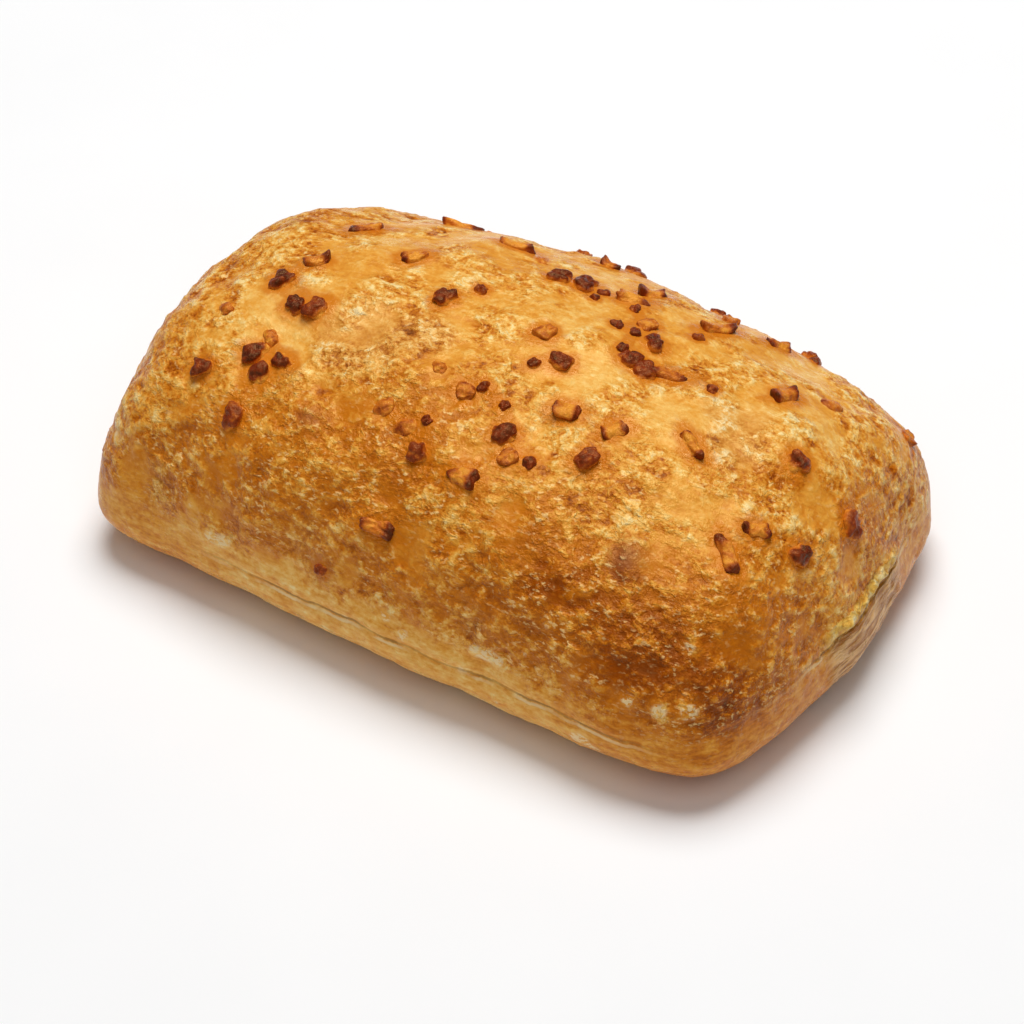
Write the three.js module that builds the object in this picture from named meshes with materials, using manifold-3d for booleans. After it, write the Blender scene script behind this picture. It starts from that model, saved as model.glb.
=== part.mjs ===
// An onion ciabatta: one hand-shaped loaf with a flat base, a full domed crust, a crease low on its
// sides and diced onion baked into its top. Millimetres, +Z up, X along the loaf.
import * as THREE from "three";
import { mergeVertices } from "three/addons/utils/BufferGeometryUtils.js";
import Module from "manifold-3d";

const wasm = await Module();
wasm.setup();

// Size of the loaf
const LENGTH = 190;
const WIDTH = 126;
const HEIGHT = 64.5;
const BELLY_HEIGHT = 13.4; // the loaf is widest here
const BASE_INSET = { end: 7.5, side: 13.4 }; // from the widest outline in to the edge of the flat base
const UNDERCURVE = 1.8; // how late the lower side turns in towards the base

// Form of the dome: its plan is an oblong with bowed sides and round corners
const END_ARCH = 0.345; // share of a plain arch along the loaf, the rest falls late at the ends
const END_STEEPNESS = 11.5;
const SIDE_ARCH = 0.655; // the same across the loaf
const SIDE_STEEPNESS = 10;
const DOME_FULLNESS = 1.6;

// Departures of a hand-shaped loaf from a regular one
const TAPER = 0.027; // extra width at the +X end, as a share
const TOP_FALL = 0.07; // fall of the top towards +X, as a share of the height
const SKEW = 0.022;
const END_BEND = -2.85; // sideways bend of both ends
const TOP_SHIFT = new THREE.Vector2(-2.2, 1.4); // of the crown over the base

// Relief of the crust
const LUMP_RISE = 0.7;
const LUMP_FADE_HEIGHT = 22; // lumps grow from nothing at the base to full here
const CREASE_DEPTH = 1.5;
const CREASE_HALF_WIDTH = 2.2;
const CREASE_HEIGHT = 17.4;
const CREASE_END_LIFT = 5; // the crease runs this much higher round the +X end
// It fades between these shares of the way to a corner, earlier at the -X end than at the +X end
const CREASE_FADE = { minus: [0.32, 0.62], plus: [0.58, 0.84] };
// Lumps of onion under the skin, broad bulges and dents: place along and across, rise, radius
const SWELLINGS = [
  [55, -40, 1.3, 5],
  [-29, -43, 0.9, 4],
  [-70, 14, 1.2, 5],
  [-54, 39, -2.2, 13],
  [-6, 43, -0.8, 10],
  [88, 44, -0.9, 12],
  [96, 2, 1.4, 16],
  [-80, -58, 1.2, 13],
  [-42, -62, -0.9, 10],
];

// Diced onion in five kinds, each with its places along and across the top; a strip also has its
// turn in plan and its length
const ONION_KINDS = [
  {
    kind: "strip",
    width: 4.2,
    rise: 1.7,
    places: [
      [-54, -2, 36, 6], [-55, 20, 45, 8.4], [-35, 11, 45, 7], [-41, 41, 8, 10], [-20, 33, 16, 8.5],
      [15, 29, 14, 8], [16, 36, 45, 6.5], [38, 8, 20, 8.5], [36, 33, 50, 9], [54, -9, -33, 7.5],
      [74, -27, -35, 9], [76, -18, 41, 5.8], [13, -42, 8, 6.6], [37, -16, 50, 5.8], [25, -17, 16, 6.3],
      [-2, -55.5, 3, 6.8], [47, 43, 45, 6.5], [-2, 47, 6, 5], [61, 21, 60, 6.5],
    ],
  },
  {
    kind: "charred",
    length: 5.4,
    width: 4.6,
    rise: 1.9,
    places: [
      [-58, -11], [-50, -17], [-44, -17], [-62, -39], [-51, -33], [-47, -37], [-43, -33], [-48, -47],
      [-3, 25], [3, 27], [29, 15], [28, 6], [33, 5], [16, -5], [36, -26], [16, -29], [0, -41], [74, 4],
      [88, 5], [85, -13], [-19, 0],
    ],
  },
  {
    kind: "amber",
    length: 4.7,
    width: 4.2,
    rise: 1.2,
    places: [[8, 1], [24, 20], [2, -24], [34, 43], [20, -34]],
  },
  {
    kind: "speck",
    length: 3,
    width: 2.7,
    rise: 1.2,
    places: [
      [-14, 8], [8, 27], [8, 23], [18, 25], [19, 15], [24, 15], [25, 7], [11, -9], [5, -21],
      [12, -23], [25, -33], [-2, -34], [48, 10], [35, 25], [54, 49], [-15, -61],
    ],
  },
  {
    kind: "buried",
    length: 5,
    width: 4.2,
    rise: 1,
    places: [[-7, -21], [-13, -35], [-6, -37], [-66, -23], [-50, -28], [-12, 32], [69, 30]],
  },
];
const FAR_SLOPE_BITS = 9; // scattered low on the far slope, by a rule
const BIT_SIDES = 7;
const BIT_SINK = 2; // depth of a piece's underside below the crust
const BIT_DISH = 0.5; // height of its sunk middle, as a share of its rim

// Fineness of the faceted surface
const SEGMENTS = { along: 58, across: 38, side: 4 };
const RING_CROWDING = 0.95; // sets the spacing of the dome's rings, so that one runs along the crease
const BISECTIONS = 48;

const CRUST_COLOUR = 0xc08a45;
const CRUST_ROUGHNESS = 0.62;

// A repeatable number from 0 to 1 for a whole number and a use of it.
function draw(number, use) {
  const spread = Math.sin(number * 12.9898 + use * 78.233) * 43758.5453;
  return spread - Math.floor(spread);
}

function smoothStep(value, from, to) {
  return THREE.MathUtils.smoothstep(value, from, to);
}

// Share of the dome's fall at a place in plan: 0 in the middle, 1 at the widest outline.
function fallAt(along, across) {
  const u = Math.abs(along) / (LENGTH / 2);
  const v = Math.abs(across) / (WIDTH / 2);
  const ends = END_ARCH * u ** 2 + (1 - END_ARCH) * u ** END_STEEPNESS;
  const sides = SIDE_ARCH * v ** 2 + (1 - SIDE_ARCH) * v ** SIDE_STEEPNESS;
  return ends + sides;
}

// How far to go from the middle towards a point of the oblong's edge until the dome has this fall.
function reachTo(fall, edgeAlong, edgeAcross) {
  let near = 0;
  let far = 1;
  for (let step = 0; step < BISECTIONS; step++) {
    const middle = (near + far) / 2;
    const short = fallAt(middle * edgeAlong, middle * edgeAcross) < fall;
    if (short) near = middle;
    else far = middle;
  }
  return (near + far) / 2;
}

// Carries a point of the regular loaf to the hand-shaped one.
function handShaped(point) {
  const u = point.x / (LENGTH / 2);
  const lift = THREE.MathUtils.clamp((point.z - BELLY_HEIGHT) / (HEIGHT - BELLY_HEIGHT), 0, 1);
  const y = point.y * (1 + TAPER * u) + END_BEND * u ** 2;
  const x = point.x + SKEW * y + TOP_SHIFT.x * lift;
  const z = point.z - TOP_FALL * u * lift * HEIGHT;
  return new THREE.Vector3(x, y + TOP_SHIFT.y * lift, z);
}

// A point of the top, for a square sheet that runs from -1 to 1 both ways.
function domePoint(p, q) {
  const ring = Math.max(Math.abs(p), Math.abs(q));
  const lift = Math.cos((ring ** RING_CROWDING * Math.PI) / 2);
  const height = BELLY_HEIGHT + (HEIGHT - BELLY_HEIGHT) * lift;
  if (ring === 0) return new THREE.Vector3(0, 0, height);
  const edge = new THREE.Vector2((p / ring) * (LENGTH / 2), (q / ring) * (WIDTH / 2));
  const reach = reachTo(1 - lift ** DOME_FULLNESS, edge.x, edge.y);
  return new THREE.Vector3(reach * edge.x, reach * edge.y, height);
}

// A point of the lower side, where drop runs from 0 at the belly to 1 at the base.
function sidePoint(p, q, drop) {
  const reach = reachTo(1, (p * LENGTH) / 2, (q * WIDTH) / 2);
  const turnIn = drop ** UNDERCURVE;
  const x = reach * p * (LENGTH / 2 - BASE_INSET.end * turnIn);
  const y = reach * q * (WIDTH / 2 - BASE_INSET.side * turnIn);
  return new THREE.Vector3(x, y, BELLY_HEIGHT * (1 - drop));
}

// The point of the smooth dome over a place in plan.
function crownPoint(along, across) {
  const lift = Math.max(0, 1 - fallAt(along, across)) ** (1 / DOME_FULLNESS);
  const height = BELLY_HEIGHT + (HEIGHT - BELLY_HEIGHT) * lift;
  return handShaped(new THREE.Vector3(along, across, height));
}

// Broad unevenness of the crust, in and out: rounded lumps of three sizes.
function lumps({ x, y, z }) {
  const broad = Math.sin(0.105 * x + 0.03 * y + 0.4) * Math.sin(0.125 * y - 0.02 * x + 1.1);
  const middle = 0.6 * Math.sin(0.19 * x - 0.11 * y + 2.1) * Math.sin(0.16 * y + 0.09 * x + 0.7);
  const small = 0.4 * Math.sin(0.29 * x + 0.08 * z + 0.5) * Math.sin(0.27 * y + 0.21 * z + 1.9);
  return LUMP_RISE * smoothStep(z, 0, LUMP_FADE_HEIGHT) * (broad + middle + small);
}

function swellings(point) {
  let rise = 0;
  for (const [along, across, height, radius] of SWELLINGS) {
    const distance = point.distanceTo(crownPoint(along, across));
    rise += height * Math.exp(-((distance / radius) ** 2));
  }
  return rise;
}

// The crease where the dome folded over the lower side as the loaf rose.
function crease(point) {
  const u = Math.abs(point.x) / (LENGTH / 2);
  const v = Math.abs(point.y) / (WIDTH / 2);
  const fade = point.x < 0 ? CREASE_FADE.minus : CREASE_FADE.plus;
  const strength = 1 - smoothStep(Math.min(u, v), ...fade);
  const atEnd = smoothStep(point.x / (LENGTH / 2), 0.75, 0.95);
  const offset = (point.z - CREASE_HEIGHT - CREASE_END_LIFT * atEnd) / CREASE_HALF_WIDTH;
  return -CREASE_DEPTH * strength * Math.exp(-(offset ** 2));
}

function relief(point) {
  return lumps(point) + swellings(point) + crease(point);
}

// A geometry with nothing but its positions and shared vertices.
function bare(geometry) {
  geometry.deleteAttribute("normal");
  geometry.deleteAttribute("uv");
  return mergeVertices(geometry);
}

function moveVertices(geometry, moved) {
  const positions = geometry.getAttribute("position");
  const vertex = new THREE.Vector3();
  for (let i = 0; i < positions.count; i++) {
    vertex.fromBufferAttribute(positions, i);
    const target = moved(vertex, i);
    positions.setXYZ(i, target.x, target.y, target.z);
  }
}

// Triangles that close the open bottom of a box, as one flat sheet between its rim's vertices.
function bottomTriangles(box) {
  const positions = box.getAttribute("position");
  const rim = [];
  for (let i = 0; i < positions.count; i++) {
    if (positions.getZ(i) === -1) rim.push(i);
  }
  const turn = (i) => Math.atan2(positions.getY(i), positions.getX(i));
  rim.sort((a, b) => turn(a) - turn(b));
  const outline = rim.map((i) => new THREE.Vector2(positions.getX(i), positions.getY(i)));
  const inside = outline.map((point) => point.clone().normalize());
  const triangles = THREE.ShapeUtils.triangulateShape(inside, []);
  return triangles.flatMap(([a, b, c]) => [rim[a], rim[c], rim[b]]);
}

// A box of unit half size whose bottom has no inner vertices.
function sparseBox() {
  const { along, across, side } = SEGMENTS;
  const box = new THREE.BoxGeometry(2, 2, 2, along, across, side);
  const bottomGroup = box.groups[5];
  box.setIndex(Array.from(box.index.array).slice(0, bottomGroup.start));
  box.clearGroups();
  const open = bare(box.toNonIndexed());
  open.setIndex([...open.index.array, ...bottomTriangles(open)]);
  return open;
}

function loafGeometry() {
  const loaf = sparseBox();
  moveVertices(loaf, ({ x, y, z }) => {
    const regular = z === 1 ? domePoint(x, y) : sidePoint(x, y, (1 - z) / 2);
    return handShaped(regular);
  });
  loaf.computeVertexNormals();
  const normals = loaf.getAttribute("normal").clone();
  const normal = new THREE.Vector3();
  moveVertices(loaf, (point, i) => {
    if (point.z === 0) return point;
    normal.fromBufferAttribute(normals, i);
    return point.clone().addScaledVector(normal, relief(point));
  });
  loaf.deleteAttribute("normal");
  return loaf;
}

// Every piece of onion: its place, size, turn in plan and a number of its own.
function onionLayout() {
  const bits = [];
  function addBit(kind, along, across, givenTurn, givenLength) {
    const number = bits.length;
    const size = 0.88 + 0.24 * draw(number, 1);
    const turn = givenTurn ?? 180 * draw(number, 2);
    const length = givenLength ?? kind.length * size;
    bits.push({ number, along, across, turn, length, width: kind.width * size, rise: kind.rise });
  }
  for (const kind of ONION_KINDS) {
    for (const place of kind.places) addBit(kind, ...place);
  }
  const farKinds = ONION_KINDS.filter(({ kind }) => kind === "charred" || kind === "amber");
  for (let i = 0; i < FAR_SLOPE_BITS; i++) {
    const along = -84 + 19 * i + 16 * draw(i, 3);
    const across = 51 + 8 * draw(i, 4) - 8 * (along / (LENGTH / 2)) ** 2;
    addBit(farKinds[Math.round(draw(i, 10))], along, across);
  }
  return bits;
}

// A dished chip with an uneven rim, its underside below z = 0.
function onionChip({ number, length, width, rise }) {
  const chip = bare(new THREE.CylinderGeometry(1, 1, 2, BIT_SIDES));
  chip.rotateX(Math.PI / 2);
  const phase = 2 * Math.PI * draw(number, 5);
  moveVertices(chip, ({ x, y, z }) => {
    const onRim = Math.hypot(x, y) > 0.5;
    const angle = Math.atan2(y, x);
    const reach = 1 + 0.14 * Math.sin(2 * angle + phase) + 0.1 * Math.sin(3 * angle - 2 * phase);
    const rim = rise * (1 + 0.28 * Math.sin(angle + 3 * phase));
    const top = onRim ? rim : rise * BIT_DISH;
    return new THREE.Vector3((x * reach * length) / 2, (y * reach * width) / 2, z > 0 ? top : -BIT_SINK);
  });
  return chip;
}

// Stands a chip on the crust at its place, square to the surface there.
function placedChip(bit) {
  const step = 0.5;
  const east = crownPoint(bit.along + step, bit.across).sub(crownPoint(bit.along - step, bit.across));
  const north = crownPoint(bit.along, bit.across + step).sub(crownPoint(bit.along, bit.across - step));
  const normal = new THREE.Vector3().crossVectors(east, north).normalize();
  const lengthwise = east.normalize().applyAxisAngle(normal, THREE.MathUtils.degToRad(bit.turn));
  const sideways = new THREE.Vector3().crossVectors(normal, lengthwise);
  const foot = crownPoint(bit.along, bit.across);
  foot.addScaledVector(normal, relief(foot));
  const stand = new THREE.Matrix4().makeBasis(lengthwise, sideways, normal).setPosition(foot);
  return onionChip(bit).applyMatrix4(stand);
}

function toSolid(geometry) {
  const mesh = new wasm.Mesh({
    numProp: 3,
    vertProperties: new Float32Array(geometry.getAttribute("position").array),
    triVerts: new Uint32Array(geometry.index.array),
  });
  return new wasm.Manifold(mesh);
}

function toGeometry(solid) {
  const { vertProperties, triVerts } = solid.getMesh();
  const geometry = new THREE.BufferGeometry();
  geometry.setAttribute("position", new THREE.BufferAttribute(vertProperties, 3));
  geometry.setIndex(new THREE.BufferAttribute(triVerts, 1));
  return geometry;
}

// The largest body of a solid: sealed hollows are filled and loose scraps dropped.
function mainBody(solid) {
  const bodies = solid.decompose();
  return bodies.reduce((best, body) => (body.volume() > best.volume() ? body : best));
}

function breadMesh() {
  const chips = onionLayout().map((bit) => toSolid(placedChip(bit)));
  const fused = chips.reduce((whole, chip) => whole.add(chip), toSolid(loafGeometry()));
  const geometry = toGeometry(mainBody(fused));
  geometry.computeBoundingBox();
  const { min, max } = geometry.boundingBox;
  geometry.translate(-(min.x + max.x) / 2, -(min.y + max.y) / 2, -min.z);
  geometry.computeVertexNormals();
  const crust = new THREE.MeshStandardMaterial({
    color: CRUST_COLOUR,
    roughness: CRUST_ROUGHNESS,
    metalness: 0,
  });
  const loaf = new THREE.Mesh(geometry, crust);
  loaf.name = "loaf";
  return loaf;
}

const ciabatta = new THREE.Group();
ciabatta.add(breadMesh());

export default ciabatta;
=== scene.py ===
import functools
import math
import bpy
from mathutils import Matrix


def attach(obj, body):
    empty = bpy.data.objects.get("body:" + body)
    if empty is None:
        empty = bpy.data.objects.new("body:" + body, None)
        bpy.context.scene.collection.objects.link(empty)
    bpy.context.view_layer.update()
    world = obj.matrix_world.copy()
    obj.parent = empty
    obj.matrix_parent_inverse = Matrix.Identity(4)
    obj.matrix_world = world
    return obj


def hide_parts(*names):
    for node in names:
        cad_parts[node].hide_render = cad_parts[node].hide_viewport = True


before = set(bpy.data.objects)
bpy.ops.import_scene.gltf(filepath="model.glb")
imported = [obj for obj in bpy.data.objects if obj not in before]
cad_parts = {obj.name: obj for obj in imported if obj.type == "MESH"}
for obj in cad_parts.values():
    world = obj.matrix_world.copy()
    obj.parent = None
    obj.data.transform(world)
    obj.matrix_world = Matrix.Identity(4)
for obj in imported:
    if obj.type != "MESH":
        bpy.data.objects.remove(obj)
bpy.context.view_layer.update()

# The looks of an onion ciabatta: its crust as one finely modelled skin, and the diced onion baked into it.
# Sizes are in millimetres, in the loaf's own frame, and become metres when a mesh is made.
from types import SimpleNamespace

import bpy
import numpy as np
from mathutils import Vector, noise

MM = 0.001

# Size of the loaf
LENGTH = 190
WIDTH = 126
HEIGHT = 64.5
BELLY_HEIGHT = 13.4  # the loaf is widest here
BASE_INSET = {"end": 7.5, "side": 13.4}  # from the widest outline in to the edge of the flat base
UNDERCURVE = 1.8  # how late the lower side turns in towards the base
HALF_LENGTH = LENGTH / 2
HALF_WIDTH = WIDTH / 2

# Form of the dome: its plan is an oblong with bowed sides and round corners
END_ARCH = 0.345
END_STEEPNESS = 11.5
SIDE_ARCH = 0.655
SIDE_STEEPNESS = 10
DOME_FULLNESS = 1.6

# Departures of a hand-shaped loaf from a regular one
TAPER = 0.027
TOP_FALL = 0.07
SKEW = 0.022
END_BEND = -2.85
TOP_SHIFT = (-2.2, 1.4)

# Broad relief of the crust
LUMP_RISE = 0.7
LUMP_FADE_HEIGHT = 22
# Lumps of onion under the skin, broad bulges and dents: place along and across, radius, rise
SWELLINGS = [
    (55, -40, 5, 1.3), (-29, -43, 4, 0.9), (-70, 14, 5, 1.2), (-54, 39, 13, -2.2), (-6, 43, 10, -0.8),
    (88, 44, 12, -0.9), (96, 2, 16, 1.4), (-80, -58, 13, 1.2), (-42, -62, 10, -0.9),
]

# The crease low on the sides; a fade is from none to all, in shares of the half length or half width
CREASE_HEIGHT = 17.4
CREASE_WAVER = 0.9
CREASE_DEPTH = 0.4
CREASE_HALF_WIDTH = 0.8
CREASE_FADE = {"minus": (0.32, 0.62), "plus": (0.58, 0.84)}  # towards the corners of either end
CREASE_END_LIFT = 5  # higher on the +X end
CREASE_END_LIFT_FADE = (0.75, 0.95)
CREASE_END_FAINTNESS = 0.8  # on the ends, away from their middle
CREASE_END_FADE = {"along": (0.82, 0.92), "across": (0.3, 0.5)}
BROW_HEIGHT = 2.4  # of the rounded skin above the crease
BROW_HALF_WIDTH = 1.5
BROW_RISE = 0.3

# The tear, where the crease is open at the +X end
TEAR_DEPTH = 0.1  # more than the crease's own
TEAR_MIDDLE = 0
TEAR_ALONG = (70, 88)  # it opens between these places
TEAR_FADE = (14, 21)  # it closes between these distances from its middle
CRUMB_RISE = 0.5
CRUMB_CHUNKS = 1.2  # how far chunks of crumb rise and fall about that

# Fine relief of the crust
SWELL_RISE = 0.4
BLISTER_RISE = 0.4
WRINKLE_RISE = 0.55
FLAKE_RISE = 0.15
SMOOTH_SHARE = 0.2  # of its wrinkles and flakes that a smooth place keeps
PALE_BLISTER_RISE = 0.45
FILM_RISE = 0.25
FINE_RELIEF_START = 5  # it fades in from the base to this height

# How brown the crust is baked, from 0 for pale dough to 1 for dark brown
TOP_BAKE = 0.36
FRONT_BAKE = 0.23  # added to that of the top, as are the next two
FAR_BAKE = 0.15
END_BAKE = 0.1
LOW_BAKE = 0.3
LOW_PLUS_BAKE = 0.22  # added to that of the lower side towards +X
LOW_PLUS_FADE = (40, 80)
LOW_MINUS_BAKE = 0.16  # the same towards -X
LOW_MINUS_FADE = (35, 70)
BAKE_UNEVENNESS = 0.07
FRONT_SLOPE = (26, 50)  # where it begins and is full, across the loaf
FAR_SLOPE = (40, 58)
END_SLOPE = (76, 92)  # the same along the loaf
TAN_EDGE = (30, 19)  # the tan lower side begins and is full at these heights
TAN_RAGGEDNESS = 3.5
TAN_DROP = 5  # how much lower it begins towards +X
TAN_DROP_FADE = (30, 60)
STREAK_EDGE = (32, 20)  # the same for the streaks low on the sides, and for dusty skin there
FLOUR_EDGE = (34, 16)
FLAKE_EDGE = (17, 27)  # the crust is smooth below the first and can be flaky above the second
FLAKE_BAKE = (0.26, 0.48)  # how brown it is where it begins to flake and where it is fully flaky
FLAKE_BAKE_MOST = 0.46  # browner crust counts as this brown, so that it has smooth patches too
FLAKE_PATCHINESS = 0.25

# Pale blisters low on the front and at the corners: place along and across, radius, strength
PALE_BLISTERS = [
    (27.5, -61.4, 2, 1), (31, -61.2, 2.3, 1), (34, -61.2, 1.6, 0.9), (66.8, -57.5, 2.1, 1),
    (74.2, -56, 2.2, 1), (80.2, -53, 2.4, 1), (53.2, -58.8, 1.1, 0.8), (57.5, -58.2, 1.1, 0.8),
    (60.2, -58.2, 1, 0.8), (44, -56.2, 2, 0.6), (50, -49.2, 2, 0.6), (76, -46.2, 1.6, 0.9),
    (-80, -51, 1.8, 0.7), (-72, -54, 1.5, 0.5), (-47, -60.8, 2.2, 1), (-43.2, -61, 2.2, 1),
    (-53, -59, 1.8, 0.8), (4, -62, 2, 0.9), (9, -62.4, 2.2, 0.9), (40, -59.8, 1.4, 0.8),
    (32.2, -58.5, 1, 0.7),
]

# Places that are baked browner or less brown than the rest: along, across, radius, change
BROWNED = [
    (-72, 20, 13, 0.14), (-76, -6, 9, 0.14), (-74, -30, 13, 0.16), (-64, -46, 16, -0.1), (-80, -50, 9, -0.16),
    (-52, -22, 11, -0.1), (-51, -40, 5, -0.06), (-40, -38, 5, 0.08), (-40, -4, 9, 0.06), (-38, -59, 6, -0.08),
    (-16, -31, 15, 0.17), (-22, 32, 14, -0.06), (-16, 14, 12, 0.1), (-8, 34, 8, 0.1), (3, -28, 13, 0.18),
    (-4, -61, 6, -0.1), (0, -47, 7, 0.08), (15, -50, 11, -0.1), (27, -56, 5, 0.06), (30, -8, 11, -0.1),
    (37, -23, 11, 0.18), (46, -6, 9, -0.1), (45, -52, 12, 0.14), (44, -51, 3, 0.1), (56, -43, 3, 0.25),
    (60, -2, 9, 0.06), (54, -14, 6, -0.14), (60, -33, 8, 0.1), (66, -18, 9, 0.1), (68, -47, 17, 0.15),
    (66, -56, 9, 0.12), (71, -6, 7, 0.1), (72, -52, 4, 0.14), (74, 18, 8, -0.06), (77, -16, 5, -0.12),
    (80, -35, 10, 0.06), (82, -26, 9, 0.18), (85, 6, 9, 0.1), (86, 20, 10, 0.08), (86, -44, 14, 0.12),
    (92, -18, 16, 0.1),
]
BROWNED_STRENGTH = 0.9
PALE_BLISTER_STRENGTH = 0.3

# Dark places over onion under the skin: along, across, radius, strength
BRUISED = [(55, -40, 4, 1), (-29, -43, 2.6, 0.7), (-70, 14, 3, 0.5), (-14, -61, 3, 0.5)]

# Dull, coarser tan places on the top and low on the front: along, across, radius, strength
DULL_PLACES = [
    (-30, -20, 14, 1), (-14, -12, 8, 0.7), (57, 5, 10, 0.8), (62, -4, 8, 0.7), (-36, 14, 9, 0.7),
    (-76, 24, 10, 0.6), (26, -60, 9, 0.6), (-20, -60, 10, 0.6), (-62, -58, 10, 0.6),
]

# Diced onion in five kinds, each with its places along and across the top; a strip also has its
# turn in plan and its length
ONION_KINDS = [
    {
        "kind": "strip",
        "width": 4.2,
        "rise": 1.7,
        "places": [
            (-54, -2, 36, 6), (-55, 20, 45, 8.4), (-35, 11, 45, 7), (-41, 41, 8, 10), (-20, 33, 16, 8.5),
            (15, 29, 14, 8), (16, 36, 45, 6.5), (38, 8, 20, 8.5), (36, 33, 50, 9), (54, -9, -33, 7.5),
            (74, -27, -35, 9), (76, -18, 41, 5.8), (13, -42, 8, 6.6), (37, -16, 50, 5.8),
            (25, -17, 16, 6.3), (-2, -55.5, 3, 6.8), (47, 43, 45, 6.5), (-2, 47, 6, 5), (61, 21, 60, 6.5),
        ],
    },
    {
        "kind": "charred",
        "length": 5.4,
        "width": 4.6,
        "rise": 1.9,
        "places": [
            (-58, -11), (-50, -17), (-44, -17), (-62, -39), (-51, -33), (-47, -37), (-43, -33), (-48, -47),
            (-3, 25), (3, 27), (29, 15), (28, 6), (33, 5), (16, -5), (36, -26), (16, -29), (0, -41),
            (74, 4), (88, 5), (85, -13), (-19, 0),
        ],
    },
    {
        "kind": "amber",
        "length": 4.7,
        "width": 4.2,
        "rise": 1.2,
        "places": [(8, 1), (24, 20), (2, -24), (34, 43), (20, -34)],
    },
    {
        "kind": "speck",
        "length": 3,
        "width": 2.7,
        "rise": 1.2,
        "places": [
            (-14, 8), (8, 27), (8, 23), (18, 25), (19, 15), (24, 15), (25, 7), (11, -9), (5, -21),
            (12, -23), (25, -33), (-2, -34), (48, 10), (35, 25), (54, 49), (-15, -61),
        ],
    },
    {
        "kind": "buried",
        "length": 5,
        "width": 4.2,
        "rise": 1,
        "places": [(-7, -21), (-13, -35), (-6, -37), (-66, -23), (-50, -28), (-12, 32), (69, 30)],
    },
]
BIT_SIZES = (0.88, 1.12)  # smallest and largest, in shares of the kind's own size

# A row of onion low on the far slope, which the photograph doesn't show
FAR_ROW_COUNT = 9
FAR_ROW_START = -84
FAR_ROW_STEP = 19
FAR_ROW_SCATTER = {"along": 16, "across": 8}
FAR_ROW_ACROSS = 51
FAR_ROW_BOW = 8  # how far the row turns in towards the ends

# Form of a piece of onion
BIT_RINGS = 18
BIT_SPOKES = 34
BIT_SINK = 2
# How round the edges of each kind are, where 1 is an ellipsoid and 0 a box, and how uneven it is
BIT_ROUNDNESS = {"strip": 0.8, "charred": 0.7, "amber": 0.8, "speck": 0.8, "buried": 1}
BIT_UNEVENNESS = {"strip": 0.36, "charred": 0.45, "amber": 0.35, "speck": 0.35, "buried": 0.3}

# Amber film of onion juice on the crust
LINK_REACH = 9  # pieces of onion nearer to each other than this are joined by film
LINK_HALF_WIDTH = 2.2
HALO_SIZE = 2.2  # of the film around a piece, in shares of the piece
HALO_LIMIT = 20  # no film is further from a piece than this

# What each repeatable draw is for
SIZE_DRAW = 1
TURN_DRAW = 2
FAR_ALONG_DRAW = 3
FAR_ACROSS_DRAW = 4
PLUS_END_DRAW = 6
MINUS_END_DRAW = 7
CHAR_DRAW = 8
WAIST_DRAW = 9
FAR_KIND_DRAW = 10
LEAN_DRAW = 11

# Fineness of the skin
SKIN_ALONG = 316
SKIN_ACROSS = 210
SKIN_SIDE_ROWS = 22
BASE_RINGS = (0.75, 0.5, 0.25)
RING_CROWDING = 1.1
BISECTIONS = 40

# The camera, as fitted to the loaf's outline in the photograph
VIEW_AZIMUTH = math.radians(31.37)
VIEW_ELEVATION = math.radians(40)
VIEW_DISTANCE = 722
VIEW_LENS = 105
SENSOR_WIDTH = 36
AIM_RIGHT = -1.6  # of the picture's middle from the loaf's, in the picture's plane
AIM_UP = -18.4

# Lights: name, power in watts, size and distance in metres, elevation, turn from the camera's own side
LIGHTS = [
    ("key", 20.4, 0.98, 1.5, 76, 172),
    ("fill", 4.8, 1.3, 1.5, 55, 0),
]
SKY_STRENGTH = 0.1
FLOOR_REACH = 4  # in metres, from its middle to each side

# Colours as seen on a screen; a list goes from low tones to high ones
CRUST_COLOURS = [
    (0.0, (250, 220, 152)),
    (0.2, (242, 190, 100)),
    (0.4, (228, 156, 56)),
    (0.6, (202, 114, 18)),
    (0.8, (152, 68, 0)),
    (1.0, (86, 27, 0)),
]
TAN_COLOURS = [
    (0.0, (248, 218, 166)),
    (0.3, (230, 172, 94)),
    (0.5, (208, 142, 64)),
    (0.7, (170, 102, 36)),
    (1.0, (134, 72, 20)),
]
TORN_COLOURS = [(0.38, (206, 140, 44)), (0.5, (244, 196, 92)), (0.62, (255, 230, 164))]
ONION_COLOURS = [
    (0.0, (234, 152, 48)),
    (0.3, (202, 106, 26)),
    (0.6, (138, 48, 13)),
    (1.0, (82, 24, 7)),
]
FLOOR_COLOURS = [(0, (246, 246, 246)), (1, (250, 250, 250))]
BRUISE_COLOUR = (140, 78, 48)
# Painted highlight, for glints on small flakes
PAINTED_GLINT_COLOUR = (255, 216, 144)
SHINE_COLOUR = (255, 212, 140)
FLOUR_COLOUR = (244, 214, 160)
FILM_COLOUR = (206, 114, 16)
BARK_COLOUR = (168, 106, 46)
RIB_COLOUR = (242, 196, 134)
# Painted shade along the line of the crease
CREASE_SHADE_COLOUR = (154, 102, 42)


def draw(number, use):
    """A repeatable number from 0 to 1 for a whole number and a use of it."""
    spread = math.sin(number * 12.9898 + use * 78.233) * 43758.5453
    return spread - math.floor(spread)


def smooth_step(value, low, high):
    share = np.clip((value - low) / (high - low), 0, 1)
    return share * share * (3 - 2 * share)


def noise_field(points, size, seed, octaves=1, stretch=(1, 1, 1)):
    """Fractal noise, mostly from -1 to 1, in blobs of about this size."""
    places = points / (size * np.array(stretch)) + seed * np.array((17.31, 5.17, 9.73))
    return np.array([noise.fractal(place, 1.0, 2.0, octaves) for place in places.tolist()])


def warped(points, size, seed, amount):
    """Points pushed about by noise, so that a pattern laid on them curls."""
    push = [noise_field(points, size, seed + axis, octaves=2) for axis in range(3)]
    return points + amount * np.column_stack(push)


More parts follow.
